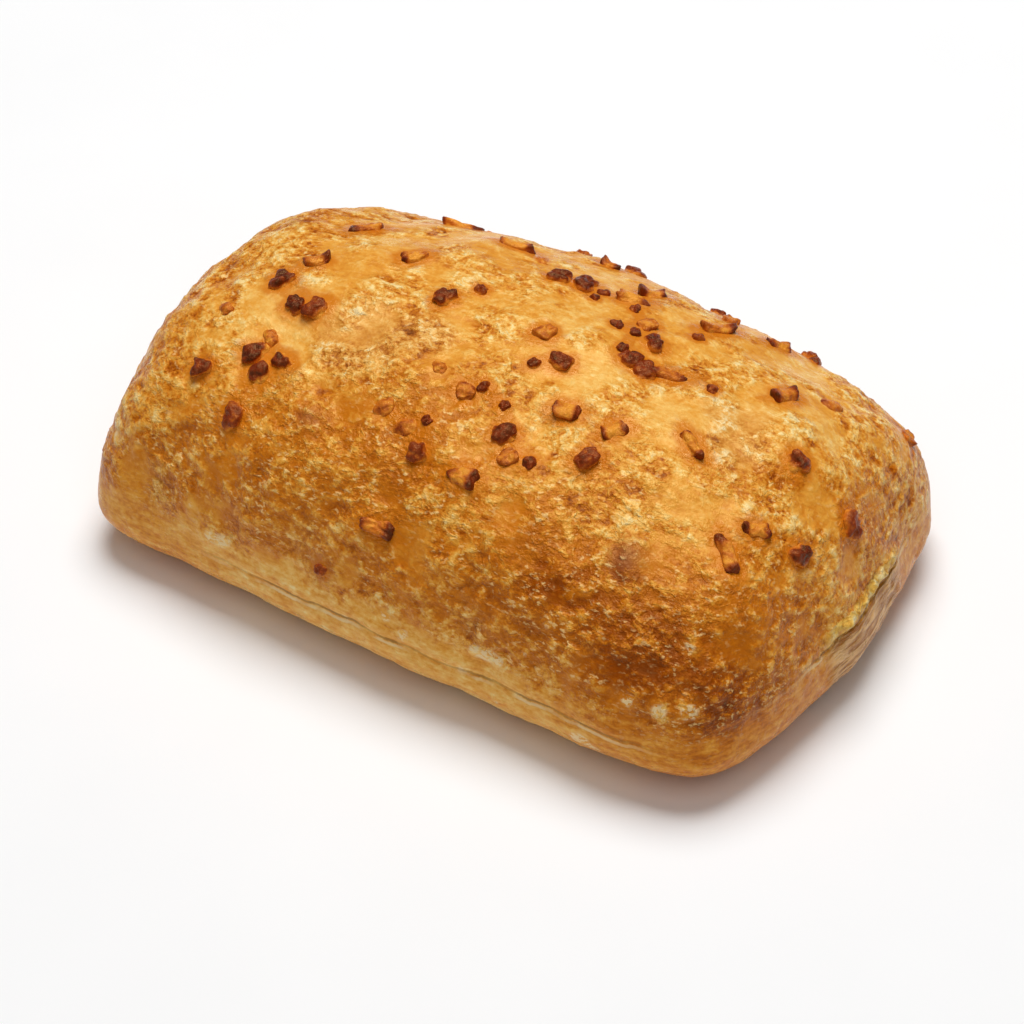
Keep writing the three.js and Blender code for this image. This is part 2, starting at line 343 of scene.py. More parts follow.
def wrinkle_field(points, size, seed, stretch=(1, 1, 1)):
    """Ridges of about this spacing, from -1 in the hollows to 1 on the crests."""
    return np.maximum(-1, 1 - 4 * np.abs(noise_field(points, size, seed, stretch=stretch)))


def cell_field(points, size, seed):
    """Distance to the nearest of scattered points, in shares of this size."""
    places = points / size + seed * np.array((3.71, 11.3, 7.19))
    return np.array([noise.voronoi(place)[0][0] for place in places.tolist()])


# Form of the loaf
def fall_at(along, across):
    """Share of the dome's fall at a place in plan: 0 in the middle, 1 at the widest outline."""
    to_end = np.abs(along) / HALF_LENGTH
    to_side = np.abs(across) / HALF_WIDTH
    ends = END_ARCH * to_end**2 + (1 - END_ARCH) * to_end**END_STEEPNESS
    sides = SIDE_ARCH * to_side**2 + (1 - SIDE_ARCH) * to_side**SIDE_STEEPNESS
    return ends + sides


def reach_to(fall, edge_along, edge_across):
    """How far to go from the middle towards the oblong's edge until the dome has this fall."""
    near = np.zeros_like(edge_along)
    far = np.ones_like(edge_along)
    for _ in range(BISECTIONS):
        middle = (near + far) / 2
        short = fall_at(middle * edge_along, middle * edge_across) < fall
        near = np.where(short, middle, near)
        far = np.where(short, far, middle)
    return (near + far) / 2


def hand_shaped(regular):
    """Carries points of the regular loaf to the hand-shaped one."""
    along, across, height = regular.T
    to_end = along / HALF_LENGTH
    lift = np.clip((height - BELLY_HEIGHT) / (HEIGHT - BELLY_HEIGHT), 0, 1)
    y = across * (1 + TAPER * to_end) + END_BEND * to_end**2
    x = along + SKEW * y + TOP_SHIFT[0] * lift
    z = height - TOP_FALL * to_end * lift * HEIGHT
    return np.column_stack([x, y + TOP_SHIFT[1] * lift, z])


def dome_points(sheet_x, sheet_y):
    """The regular dome over a square sheet that runs from -1 to 1 both ways."""
    ring = np.maximum(np.abs(sheet_x), np.abs(sheet_y))
    lift = np.cos(ring**RING_CROWDING * math.pi / 2)
    outward = np.maximum(ring, 1e-9)
    edge_along = sheet_x / outward * HALF_LENGTH
    edge_across = sheet_y / outward * HALF_WIDTH
    reach = reach_to(1 - lift**DOME_FULLNESS, edge_along, edge_across)
    height = BELLY_HEIGHT + (HEIGHT - BELLY_HEIGHT) * lift
    return np.column_stack([reach * edge_along, reach * edge_across, height])


def side_points(rim_x, rim_y, drop):
    """The regular lower side under the sheet's rim, at a drop from 0 at the belly to 1 at the base."""
    reach = reach_to(1, rim_x * HALF_LENGTH, rim_y * HALF_WIDTH)
    turn_in = drop**UNDERCURVE
    x = reach * rim_x * (HALF_LENGTH - BASE_INSET["end"] * turn_in)
    y = reach * rim_y * (HALF_WIDTH - BASE_INSET["side"] * turn_in)
    return np.column_stack([x, y, np.full_like(rim_x, BELLY_HEIGHT * (1 - drop))])


def crown_points(places):
    """The points of the smooth dome over places in plan."""
    along, across = np.asarray(places, float).T
    lift = np.maximum(0, 1 - fall_at(along, across)) ** (1 / DOME_FULLNESS)
    height = BELLY_HEIGHT + (HEIGHT - BELLY_HEIGHT) * lift
    return hand_shaped(np.column_stack([along, across, height]))


# Relief of the crust
def mounds(points, places):
    """Rounded mounds at places on the dome, given as along, across, radius and rise."""
    total = np.zeros(len(points))
    for along, across, radius, rise in places:
        distance = np.linalg.norm(points - crown_points([(along, across)]), axis=1)
        total += rise * np.exp(-((distance / radius) ** 2))
    return total


def lumps(points):
    """Broad, irregular unevenness from waves of three sizes."""
    x, y, z = points.T
    broad = np.sin(0.105 * x + 0.03 * y + 0.4) * np.sin(0.125 * y - 0.02 * x + 1.1)
    middle = 0.6 * np.sin(0.19 * x - 0.11 * y + 2.1) * np.sin(0.16 * y + 0.09 * x + 0.7)
    small = 0.4 * np.sin(0.29 * x + 0.08 * z + 0.5) * np.sin(0.27 * y + 0.21 * z + 1.9)
    return LUMP_RISE * smooth_step(z, 0, LUMP_FADE_HEIGHT) * (broad + middle + small)


def broad_relief(points):
    return lumps(points) + mounds(points, SWELLINGS)


def crease_strength(points):
    """How open the crease is at each point: 1 on the middle of a side, 0 at the corners."""
    to_end = np.abs(points[:, 0]) / HALF_LENGTH
    to_side = np.abs(points[:, 1]) / HALF_WIDTH
    to_corner = np.minimum(to_end, to_side)
    faded = [smooth_step(to_corner, *CREASE_FADE[end]) for end in ("minus", "plus")]
    on_end = smooth_step(to_end, *CREASE_END_FADE["along"]) * smooth_step(to_side, *CREASE_END_FADE["across"])
    return (1 - np.where(points[:, 0] < 0, *faded)) * (1 - CREASE_END_FAINTNESS * on_end)


def crease_offset(points):
    """Height above the wavering line of the crease."""
    at_end = smooth_step(points[:, 0] / HALF_LENGTH, *CREASE_END_LIFT_FADE)
    waver = noise_field(points * (1, 1, 0), size=16, seed=2, octaves=2)
    return points[:, 2] - CREASE_HEIGHT - CREASE_END_LIFT * at_end - CREASE_WAVER * waver


def tear_strength(points):
    """How far the crease is torn open at each point, from 0 to 1."""
    from_middle = np.abs(points[:, 1] - TEAR_MIDDLE)
    return smooth_step(points[:, 0], *TEAR_ALONG) * (1 - smooth_step(from_middle, *TEAR_FADE))


def crease_relief(points, gap, crease, torn):
    """The groove of the crease with the skin's brow above it, and the chunky crumb of the tear."""
    groove = np.exp(-((gap / CREASE_HALF_WIDTH) ** 2))
    brow = np.exp(-(((gap - BROW_HEIGHT) / BROW_HALF_WIDTH) ** 2))
    chunks = noise_field(points, size=2.6, seed=18, octaves=2)
    closed = BROW_RISE * brow - CREASE_DEPTH * groove
    opened = brow * (CRUMB_RISE + CRUMB_CHUNKS * chunks) - TEAR_DEPTH * groove
    return crease * closed + torn * opened


def wrinkles(points):
    """The wrinkled skin: folds of three sizes, from -1 in their hollows to 1 on their crests."""
    curled = warped(points, size=9, seed=40, amount=4)
    folds = wrinkle_field(curled, size=8, seed=6, stretch=(1.4, 1, 1))
    curled = warped(points, size=4, seed=44, amount=1.6)
    creases = wrinkle_field(curled, size=4.6, seed=7, stretch=(1.4, 1, 1))
    crinkles = wrinkle_field(curled, size=2.6, seed=9, stretch=(1.3, 1, 1))
    return 0.3 * folds + 0.4 * creases + 0.3 * crinkles


def fine_relief(points, flaky, wrinkled):
    """Swells, blisters, wrinkles and flakes of the crust."""
    swell = SWELL_RISE * noise_field(points, size=12, seed=3, octaves=2)
    blistered = smooth_step(noise_field(points, size=20, seed=4), -0.1, 0.4)
    blisters = BLISTER_RISE * blistered * smooth_step(cell_field(points, size=4.5, seed=5), 0.45, 0.08)
    flakes = noise_field(points, size=1.8, seed=8, octaves=2)
    roughness = SMOOTH_SHARE + (1 - SMOOTH_SHARE) * flaky
    return swell + blisters + roughness * (WRINKLE_RISE * wrinkled + FLAKE_RISE * flakes)


# Looks of the crust from place to place
def browning(regular, points):
    """How dark the crust is baked, from 0 for pale dough to 1 for dark brown."""
    along, across, height = regular.T
    baked = TOP_BAKE + FRONT_BAKE * smooth_step(-across, *FRONT_SLOPE)
    baked += FAR_BAKE * smooth_step(across, *FAR_SLOPE) + END_BAKE * smooth_step(np.abs(along), *END_SLOPE)
    baked += BROWNED_STRENGTH * mounds(points, BROWNED)
    baked += BAKE_UNEVENNESS * noise_field(points, size=18, seed=11, octaves=3)
    baked -= PALE_BLISTER_STRENGTH * mounds(points, PALE_BLISTERS)
    ragged = TAN_RAGGEDNESS * noise_field(points, size=12, seed=13, octaves=3)
    tan_edge = height + TAN_DROP * smooth_step(along, *TAN_DROP_FADE) + ragged
    lower = LOW_BAKE + LOW_PLUS_BAKE * smooth_step(along, *LOW_PLUS_FADE)
    lower += LOW_MINUS_BAKE * smooth_step(-along, *LOW_MINUS_FADE)
    return baked + smooth_step(tan_edge, *TAN_EDGE) * (lower - baked)


def flouring(regular, points):
    """How dusty the crust is: pale blisters, and patches of dry skin low on the sides."""
    band = smooth_step(regular[:, 2], *FLOUR_EDGE)
    patchy = smooth_step(noise_field(points, size=9, seed=14, octaves=3), 0.3, 0.9)
    return np.clip(band * patchy + mounds(points, PALE_BLISTERS), 0, 1)


def flakiness(regular, points, baked):
    """How flaky the crust is: browned crust is flaky in patches, and the lower side is smooth."""
    patchy = FLAKE_PATCHINESS * noise_field(points, size=11, seed=15, octaves=3)
    browned = np.minimum(baked, FLAKE_BAKE_MOST) + patchy
    return smooth_step(browned, *FLAKE_BAKE) * smooth_step(regular[:, 2], *FLAKE_EDGE)


# Diced onion
def onion_layout():
    """Every piece of onion: its kind, place, size, turn in plan and a number of its own."""
    bits = []

    def add_bit(row, along, across, given_turn=None, given_length=None):
        number = len(bits)
        size = BIT_SIZES[0] + (BIT_SIZES[1] - BIT_SIZES[0]) * draw(number, SIZE_DRAW)
        turn = 180 * draw(number, TURN_DRAW) if given_turn is None else given_turn
        length = given_length or row["length"] * size
        bit = {"kind": row["kind"], "number": number, "along": along, "across": across, "turn": turn}
        bits.append({**bit, "length": length, "width": row["width"] * size, "rise": row["rise"]})

    for row in ONION_KINDS:
        for place in row["places"]:
            add_bit(row, *place)
    far_kinds = [row for row in ONION_KINDS if row["kind"] in ("charred", "amber")]
    for i in range(FAR_ROW_COUNT):
        along = FAR_ROW_START + FAR_ROW_STEP * i + FAR_ROW_SCATTER["along"] * draw(i, FAR_ALONG_DRAW)
        across = FAR_ROW_ACROSS + FAR_ROW_SCATTER["across"] * draw(i, FAR_ACROSS_DRAW)
        across -= FAR_ROW_BOW * (along / HALF_LENGTH) ** 2
        add_bit(far_kinds[round(draw(i, FAR_KIND_DRAW))], along, across)
    return bits


ONIONS = onion_layout()


def onion_frame(bit):
    """Where a piece stands on the crust, and its lengthwise, sideways and outward directions."""
    along, across = bit["along"], bit["across"]
    steps = [(0.5, 0), (-0.5, 0), (0, 0.5), (0, -0.5)]
    east, west, north, south = crown_points([(along + x, across + y) for x, y in steps])
    normal = np.cross(east - west, north - south)
    normal /= np.linalg.norm(normal)
    flat = (east - west) / np.linalg.norm(east - west)
    turn = math.radians(bit["turn"])
    lengthwise = flat * math.cos(turn) + np.cross(normal, flat) * math.sin(turn)
    foot = crown_points([(along, across)])
    foot = foot[0] + normal * broad_relief(foot)[0]
    return foot, lengthwise, np.cross(normal, lengthwise), normal


def onion_halo(points):
    """Film around each piece that lies open on the crust: 1 at its middle, falling off past its edge."""
    film = np.zeros(len(points))
    for bit in [bit for bit in ONIONS if bit["kind"] != "buried"]:
        foot, lengthwise, sideways, _ = onion_frame(bit)
        gap = points - foot
        far_along = gap @ lengthwise / (bit["length"] / 2 * HALO_SIZE)
        far_across = gap @ sideways / (bit["width"] / 2 * HALO_SIZE)
        close = np.linalg.norm(gap, axis=1) < HALO_LIMIT
        film = np.maximum(film, close * np.exp(-(far_along**2) - far_across**2))
    return film


def onion_links(points):
    """Film that runs between neighbouring pieces of onion, from 0 to 1."""
    feet = [onion_frame(bit)[0] for bit in ONIONS]
    film = np.zeros(len(points))
    for i, start in enumerate(feet):
        for end in feet[:i]:
            span = end - start
            if np.linalg.norm(span) < LINK_REACH:
                share = np.clip((points - start) @ span / (span @ span), 0, 1)
                gap = np.linalg.norm(points - start - share[:, None] * span, axis=1)
                film = np.maximum(film, np.exp(-((gap / LINK_HALF_WIDTH) ** 2)))
    return film


# Meshes
def make_mesh(name, points, face_lists):
    mesh = bpy.data.meshes.new(name)
    faces = [face for faces in face_lists for face in faces.tolist()]
    mesh.from_pydata((points * MM).tolist(), [], faces)
    mesh.shade_smooth()
    mesh.update()
    return mesh


def add_attribute(mesh, name, values):
    mesh.attributes.new(name, "FLOAT", "POINT").data.foreach_set("value", values.astype(np.float32))


def vertex_normals(mesh):
    normals = np.empty(len(mesh.vertices) * 3)
    mesh.vertices.foreach_get("normal", normals)
    return normals.reshape(-1, 3)


# The skin of the loaf
def rim_order(columns, rows):
    """Vertex numbers round the edge of a grid, anticlockwise from above."""
    at = np.arange((columns + 1) * (rows + 1)).reshape(columns + 1, rows + 1)
    return np.concatenate([at[:-1, 0], at[-1, :-1], at[:0:-1, -1], at[0, :0:-1]])


def skin_grid():
    """Regular points and faces of the whole skin: dome, lower side and base."""
    columns = np.linspace(-1, 1, SKIN_ALONG + 1)
    rows = np.linspace(-1, 1, SKIN_ACROSS + 1)
    sheet_x, sheet_y = [sheet.ravel() for sheet in np.meshgrid(columns, rows, indexing="ij")]
    points = [dome_points(sheet_x, sheet_y)]
    count = len(sheet_x)
    at = np.arange(count).reshape(SKIN_ALONG + 1, SKIN_ACROSS + 1)
    faces = [np.stack([at[:-1, :-1], at[1:, :-1], at[1:, 1:], at[:-1, 1:]], -1).reshape(-1, 4)]
    upper = rim_order(SKIN_ALONG, SKIN_ACROSS)
    rim = sheet_x[upper], sheet_y[upper]
    drops = np.linspace(0, 1, SKIN_SIDE_ROWS + 1)[1:]
    base = side_points(*rim, 1)
    rings = [side_points(*rim, drop) for drop in drops] + [base * share for share in BASE_RINGS]
    for ring in rings:
        lower = np.arange(count, count + len(ring))
        faces.append(np.stack([upper, lower, np.roll(lower, -1), np.roll(upper, -1)], -1))
        points.append(ring)
        count += len(ring)
        upper = lower
    points.append(np.zeros((1, 3)))
    middle = np.full(len(upper), count)
    fan = np.stack([upper, middle, np.roll(upper, -1)], -1)
    return np.concatenate(points), np.concatenate(faces), fan


def crust_piece():
    regular, quads, fan = skin_grid()
    points = hand_shaped(regular)
    mesh = make_mesh("crust", points, [quads, fan])
    height = points[:, 2]
    baked = browning(regular, points)
    flaky = flakiness(regular, points, baked)
    film = np.maximum(onion_links(points), onion_halo(points))
    wrinkled = wrinkles(points)
    gap = crease_offset(points)
    crease = crease_strength(points)
    torn = tear_strength(points)
    relief = smooth_step(height, 0, FINE_RELIEF_START) * fine_relief(points, flaky * (1 - film), wrinkled)
    relief += broad_relief(points) + PALE_BLISTER_RISE * mounds(points, PALE_BLISTERS) + FILM_RISE * film
    relief += crease_relief(points, gap, crease, torn)
    # The base stays flat
    above_base = height > 0
    moved = points + vertex_normals(mesh) * (relief * above_base)[:, None]
    mesh.vertices.foreach_set("co", (moved * MM).ravel())
    mesh.update()
    attributes = {
        "baked": baked,
        "flaky": flaky,
        "wrinkled": wrinkled,
        "low": smooth_step(regular[:, 2], *STREAK_EDGE),
        "flour": flouring(regular, points),
        "film": film,
        "dull": mounds(points, DULL_PLACES),
        "bruised": mounds(points, BRUISED),
        "crease": crease,
        "crease_gap": gap,
        "torn": torn,
    }
    for name, values in attributes.items():
        add_attribute(mesh, name, values)
    return bpy.data.objects.new("crust", mesh)


# The pieces of onion
def bit_angles():
    """Tilt and spoke angle of each point of a piece: its lower pole, its rings and its upper pole."""
    tilt = np.linspace(-math.pi / 2, math.pi / 2, BIT_RINGS + 2)[1:-1]
    spoke = np.linspace(0, 2 * math.pi, BIT_SPOKES, endpoint=False)
    tilts = np.concatenate([[-math.pi / 2], np.repeat(tilt, BIT_SPOKES), [math.pi / 2]])
    spokes = np.concatenate([[0], np.tile(spoke, BIT_RINGS), [0]])
    return tilts, spokes


def bit_faces():
    """Triangles at the two poles of one piece, and quads between its rings."""
    last = BIT_RINGS * BIT_SPOKES + 1
    ring = 1 + np.arange(BIT_RINGS)[:, None] * BIT_SPOKES
    spoke = np.arange(BIT_SPOKES)[None, :]
    here = ring + spoke
    beside = ring + (spoke + 1) % BIT_SPOKES
    quads = np.stack([here[:-1], beside[:-1], beside[1:], here[1:]], -1).reshape(-1, 4)
    low = np.stack([np.zeros(BIT_SPOKES, int), beside[0], here[0]], -1)
    high = np.stack([here[-1], beside[-1], np.full(BIT_SPOKES, last)], -1)
    return quads, np.concatenate([low, high])


def bit_shape(kind, number):
    """A rounded, uneven lump that reaches about 1 from its middle, and the crinkles on it."""

    def rounded(value):
        return np.sign(value) * np.abs(value) ** BIT_ROUNDNESS[kind]

    tilts, spokes = bit_angles()
    around = rounded(np.cos(tilts))
    level = around * rounded(np.cos(spokes)), around * rounded(np.sin(spokes))
    shape = np.column_stack([*level, rounded(np.sin(tilts))])
    crinkles = wrinkle_field(shape, size=0.9, seed=47 + number)
    lumpy = BIT_UNEVENNESS[kind] * noise_field(shape, size=1.1, seed=31 + number, octaves=2)
    return shape * (1.04 + lumpy + 0.07 * crinkles)[:, None], crinkles


def bit_char(kind, number, shape, height):
    """How charred a piece is: strips at their ends, amber ones at their edge and lumps on their top."""
    own = draw(number, CHAR_DRAW)
    if kind == "strip":
        lean = (draw(number, LEAN_DRAW) - 0.5) * shape[:, 0]
        return 0.04 + 0.25 * own + 0.7 * smooth_step(np.abs(shape[:, 0]) + 0.6 * lean, 0.4, 1)
    if kind == "charred":
        return 0.1 + (0.52 + 0.28 * own) * smooth_step(height, 0.3, 1.5)
    if kind == "amber":
        return 0.22 + 0.2 * smooth_step(np.hypot(shape[:, 0], shape[:, 1]), 0.5, 1)
    if kind == "speck":
        return 0.2 + (0.35 + 0.3 * own) * smooth_step(height, 0, 0.6)
    return 0.4 - 0.1 * smooth_step(shape[:, 2], -0.3, 0.9)


def onion_bit(bit):
    """Points of one piece, and how charred each is, made darker in the hollows of its crinkles and paler on
    their crests.
    """
    kind, number, rise = bit["kind"], bit["number"], bit["rise"]
    shape, crinkles = bit_shape(kind, number)
    far = np.abs(shape[:, 0])
    edge = np.hypot(shape[:, 0], shape[:, 1])
    top = smooth_step(shape[:, 2], -0.3, 0.9)
    height = (rise + BIT_SINK) / 2 * shape[:, 2] + (rise - BIT_SINK) / 2
    waist = 1.0
    if kind == "strip":
        end_draw = np.where(shape[:, 0] > 0, draw(number, PLUS_END_DRAW), draw(number, MINUS_END_DRAW))
        height += top * rise * 0.8 * ((0.5 + 0.7 * end_draw) * far**2 - 0.45)
        waist = 0.7 + 0.3 * draw(number, WAIST_DRAW) + 0.25 * far**2
    if kind == "amber":
        height += top * rise * 0.5 * (edge**2 - 0.5)
    half_length, half_width = bit["length"] / 2, bit["width"] / 2
    local = np.column_stack([half_length * shape[:, 0], half_width * shape[:, 1] * waist, height])
    blotches = 0.28 * noise_field(local, size=1.8, seed=57 + number, octaves=3)
    # Crinkles are made darker in their hollows and paler on their crests
    char = bit_char(kind, number, shape, height) + blotches - 0.08 * crinkles
    foot, lengthwise, sideways, normal = onion_frame(bit)
    return foot + local @ np.stack([lengthwise, sideways, normal]), char


def onion_piece():
    points, chars = zip(*[onion_bit(bit) for bit in ONIONS])
    quads, triangles = bit_faces()
    each = len(points[0])
    faces = [kind + each * i for i in range(len(ONIONS)) for kind in (quads, triangles)]
    mesh = make_mesh("onion", np.concatenate(points), faces)
    add_attribute(mesh, "char", np.concatenate(chars))
    return bpy.data.objects.new("onion", mesh)


# Materials
def linear(red, green, blue):
    """A colour as seen on a screen, from 0 to 255, in the light units that shaders use."""
    shares = np.array([red, green, blue]) / 255
    curved = np.where(shares <= 0.04045, shares / 12.92, ((shares + 0.055) / 1.055) ** 2.4)
    return (*curved.tolist(), 1.0)


class Shader:
    """A material's node tree, with short ways to add nodes and join them."""

    def __init__(self, name):
        self.material = bpy.data.materials.new(name)
        self.material.use_nodes = True
        self.tree = self.material.node_tree
        self.surface = self.tree.nodes["Principled BSDF"]
        self.place = self.node("ShaderNodeTexCoord").outputs["Object"]

    def node(self, kind, **settings):
        made = self.tree.nodes.new(kind)
        for name, value in settings.items():
            setattr(made, name, value)
        return made

    def feed(self, socket, value):
        """Joins another node's output to a socket, or sets a constant on it."""
        if isinstance(value, bpy.types.NodeSocket):
            self.tree.links.new(value, socket)
        else:
            socket.default_value = value

    def dress(self, **inputs):
        """Feeds the surface's inputs, named with an underscore for each space."""
        for name, value in inputs.items():
            self.feed(self.surface.inputs[name.replace("_", " ")], value)

    def attribute(self, name):
        return self.node("ShaderNodeAttribute", attribute_name=name).outputs["Fac"]

    def math(self, operation, first, second=0.0):
        made = self.node("ShaderNodeMath", operation=operation)
        self.feed(made.inputs[0], first)
        self.feed(made.inputs[1], second)
        return made.outputs[0]

    def plus(self, *values):
        return functools.reduce(functools.partial(self.math, "ADD"), values)

    def times(self, *values):
        return functools.reduce(functools.partial(self.math, "MULTIPLY"), values)

    def total(self, parts):
        """The sum of values, each times its own number."""
        return self.plus(*[self.times(value, number) for value, number in parts])

    def near(self, value, middle, inner, outer):
        """1 where a value is within inner of the middle, 0 where it is past outer."""
        return self.between(self.math("ABSOLUTE", self.plus(value, -middle)), outer, inner)

    def swing(self, noise_value, amount):
        """Noise turned into a change about zero."""
        return self.times(self.plus(noise_value, -0.5), amount)

    def grain(self, size, detail=3.0, roughness=0.6, stretch=(1, 1, 1), curl=0.0):
        """Noise from 0 to 1 in blobs of about this size in millimetres, which curl warps."""
        scaled = self.node("ShaderNodeMapping")
        self.feed(scaled.inputs["Vector"], self.place)
        scaled.inputs["Scale"].default_value = [1 / (size * MM * s) for s in stretch]
        made = self.node("ShaderNodeTexNoise")
        self.feed(made.inputs["Vector"], scaled.outputs[0])
        made.inputs["Scale"].default_value = 1
        made.inputs["Detail"].default_value = detail
        made.inputs["Roughness"].default_value = roughness
        made.inputs["Distortion"].default_value = curl
        return made.outputs["Fac"]

    def between(self, value, low, high, to_low=0.0, to_high=1.0):
        """A smooth step from one output to another as a value goes from low to high."""
        made = self.node("ShaderNodeMapRange", interpolation_type="SMOOTHSTEP")
        for socket, given in zip(made.inputs, (value, low, high, to_low, to_high)):
            self.feed(socket, given)
        return made.outputs[0]

    def ramp(self, value, stops):
        """The colour at a value along stops, each a position and a screen colour."""
        made = self.node("ShaderNodeValToRGB")
        elements = made.color_ramp.elements
        while len(elements) < len(stops):
            elements.new(1)
        for element, (position, colour) in zip(elements, stops):
            element.position = position
            element.color = linear(*colour)
        self.feed(made.inputs["Fac"], value)
        return made.outputs["Color"]

    def mix(self, share, first, second):
        """One colour turned into another by a share."""
        made = self.node("ShaderNodeMix", data_type="RGBA")
        self.feed(made.inputs["Factor"], share)
        self.feed(made.inputs["A"], first)
        self.feed(made.inputs["B"], second)
        return made.outputs["Result"]

    def bump(self, height, distance):
        made = self.node("ShaderNodeBump")
        made.inputs["Strength"].default_value = 1
        made.inputs["Distance"].default_value = distance * MM
        self.feed(made.inputs["Height"], height)
        self.dress(Normal=made.outputs["Normal"])


def crust_grains(shader):
    """The noises that the crust's colours and relief share."""
    return SimpleNamespace(
        cloud=shader.grain(14, detail=4, roughness=0.55),
        plates=shader.grain(8, detail=5, roughness=0.62, curl=0.4),
        scales=shader.grain(2.8, detail=4, roughness=0.58, curl=0.4, stretch=(1.3, 1, 1.1)),
        flecks=shader.grain(2, detail=3, roughness=0.55, curl=0.4, stretch=(1.4, 1.2, 0.9)),
        threads=shader.grain(6, detail=3, curl=0.8),
        fine=shader.grain(1, detail=2),
        glints=shader.grain(0.9, detail=2, roughness=0.5, stretch=(1.7, 1.2, 0.8)),
        ribs=shader.grain(1.4, detail=3, stretch=(2, 7, 1)),
        streaks=shader.grain(1.2, detail=3, stretch=(5, 4, 1), curl=0.3),
    )


def ruffled_tone(shader, grains, baked, dull, thread):
    """How much darker or paler the crust's relief makes it: raised scales, flecks and threads are paler,
    partly as pale flaky skin and partly as painted light, pits are darker as painted shade, and wrinkles have
    painted light on their crests and painted shade in their hollows.
    """
    on_plates = shader.between(grains.plates, 0.36, 0.58, 0.5, 1)
    fleck = shader.times(shader.between(grains.flecks, 0.45, 0.64), on_plates)
    scale = shader.between(grains.scales, 0.52, 0.6)
    pit_shade = shader.between(grains.scales, 0.45, 0.36)
    wrinkled = shader.attribute("wrinkled")
    # Painted light on raised scales, flecks, threads and wrinkle crests; painted shade in pits and wrinkle
    # hollows
    parts = [(scale, -0.1), (pit_shade, 0.07), (fleck, -0.16), (thread, -0.1), (wrinkled, -0.16)]
    # Most of the parts make it paler, which the last number makes up for
    ruffled = shader.plus(shader.total(parts), shader.swing(grains.fine, 0.45), 0.09)
    ruffled = shader.times(ruffled, shader.between(baked, 0.3, 0.52, 1.6, 1.1))
    # On browned crust the pale flakes stand out more than the painted shade of the hollows
    darkened = shader.times(ruffled, shader.between(baked, 0.46, 0.62, 1, 0.4))
    ruffled = shader.math("MINIMUM", ruffled, darkened)
    return shader.times(ruffled, shader.between(dull, 0, 1, 1, 1.25))


def baked_colour(shader, grains, ruffling, thread):
    """The baked crust, from yellow to brown, with duller tan places."""
    baked = shader.attribute("baked")
    patches = shader.plus(shader.swing(grains.cloud, 0.16), shader.swing(grains.plates, 0.16))
    baked = shader.plus(baked, shader.times(patches, shader.between(baked, 0.4, 0.58, 1, 0.5)))
    dull = shader.plus(shader.attribute("dull"), shader.swing(grains.plates, 1.2))
    dull = shader.between(dull, 0.25, 0.85)
    ruffled = shader.times(ruffled_tone(shader, grains, baked, dull, thread), ruffling)
    streaked = shader.plus(shader.swing(grains.streaks, 0.6), shader.swing(grains.glints, 0.35))
    tone = shader.plus(baked, ruffled, shader.times(streaked, shader.attribute("low")))
    bright_colour = shader.ramp(tone, CRUST_COLOURS)
    return shader.mix(shader.times(dull, 0.5), bright_colour, shader.ramp(tone, TAN_COLOURS))


def with_marks(shader, grains, ruffling, film, colour):
    """The crust's colour with bruises, painted glints on flakes, dusty skin and amber film on it."""
    colour = shader.mix(shader.times(shader.attribute("bruised"), 0.75), colour, linear(*BRUISE_COLOUR))
    # Painted glints: small flakes are painted pale and warm where highlights would catch them
    painted_glint = shader.times(shader.between(grains.glints, 0.54, 0.66), shader.between(grains.flecks, 0.42, 0.58))
    painted_glint = shader.times(painted_glint, ruffling, shader.between(grains.cloud, 0.4, 0.58, 0.5, 1))
    colour = shader.mix(shader.times(painted_glint, 0.55), colour, linear(*PAINTED_GLINT_COLOUR))
    dusty = shader.plus(shader.attribute("flour"), shader.swing(grains.plates, 1.2))
    specks = shader.plus(grains.fine, shader.swing(grains.glints, 1))
    dusty = shader.times(shader.between(dusty, 0.4, 0.8), shader.between(specks, 0.4, 0.56, 0, 0.9))
    colour = shader.mix(dusty, colour, linear(*FLOUR_COLOUR))
    return shader.mix(shader.times(film, 0.85), colour, linear(*FILM_COLOUR))


def with_crease(shader, grains, colour):
    """The crust's colour with the crease, the painted shade along its line and its tear in it, and the relief
    of the tear.
    """
    gap = shader.plus(shader.attribute("crease_gap"), shader.swing(grains.plates, 2))
    crease = shader.attribute("crease")
    torn = shader.attribute("torn")
    broken = shader.between(grains.cloud, 0.42, 0.56)
    bark = shader.times(torn, shader.between(gap, -0.2, -1))
    ribbed = shader.between(grains.ribs, 0.42, 0.6)
    bark_colour = shader.mix(ribbed, linear(*BARK_COLOUR), linear(*RIB_COLOUR))
    colour = shader.mix(shader.times(bark, 0.8), colour, bark_colour)
    jagged = shader.plus(gap, shader.swing(grains.scales, 2.4), shader.swing(grains.flecks, 2.4))
    crumb = shader.times(torn, shader.near(jagged, 2.1, 1.7, 2.3))
    colour = shader.mix(crumb, colour, shader.ramp(grains.scales, TORN_COLOURS))
    skin_edge = shader.times(crease, broken, shader.near(gap, -0.9, 0.2, 0.5))
    skin_edge = shader.times(skin_edge, shader.between(torn, 0.5, 0, 0, 0.8))
    colour = shader.mix(skin_edge, colour, linear(*FLOUR_COLOUR))
    # Painted shade along the line of the crease, broken in places
    line = shader.times(crease, shader.near(gap, 0, 0.15, 0.45), shader.between(broken, 0, 1, 0.4, 0.85))
    colour = shader.mix(line, colour, linear(*CREASE_SHADE_COLOUR))
    relief = shader.total([(shader.times(bark, grains.ribs), 2), (shader.times(crumb, grains.scales), 1.5)])
    return colour, relief


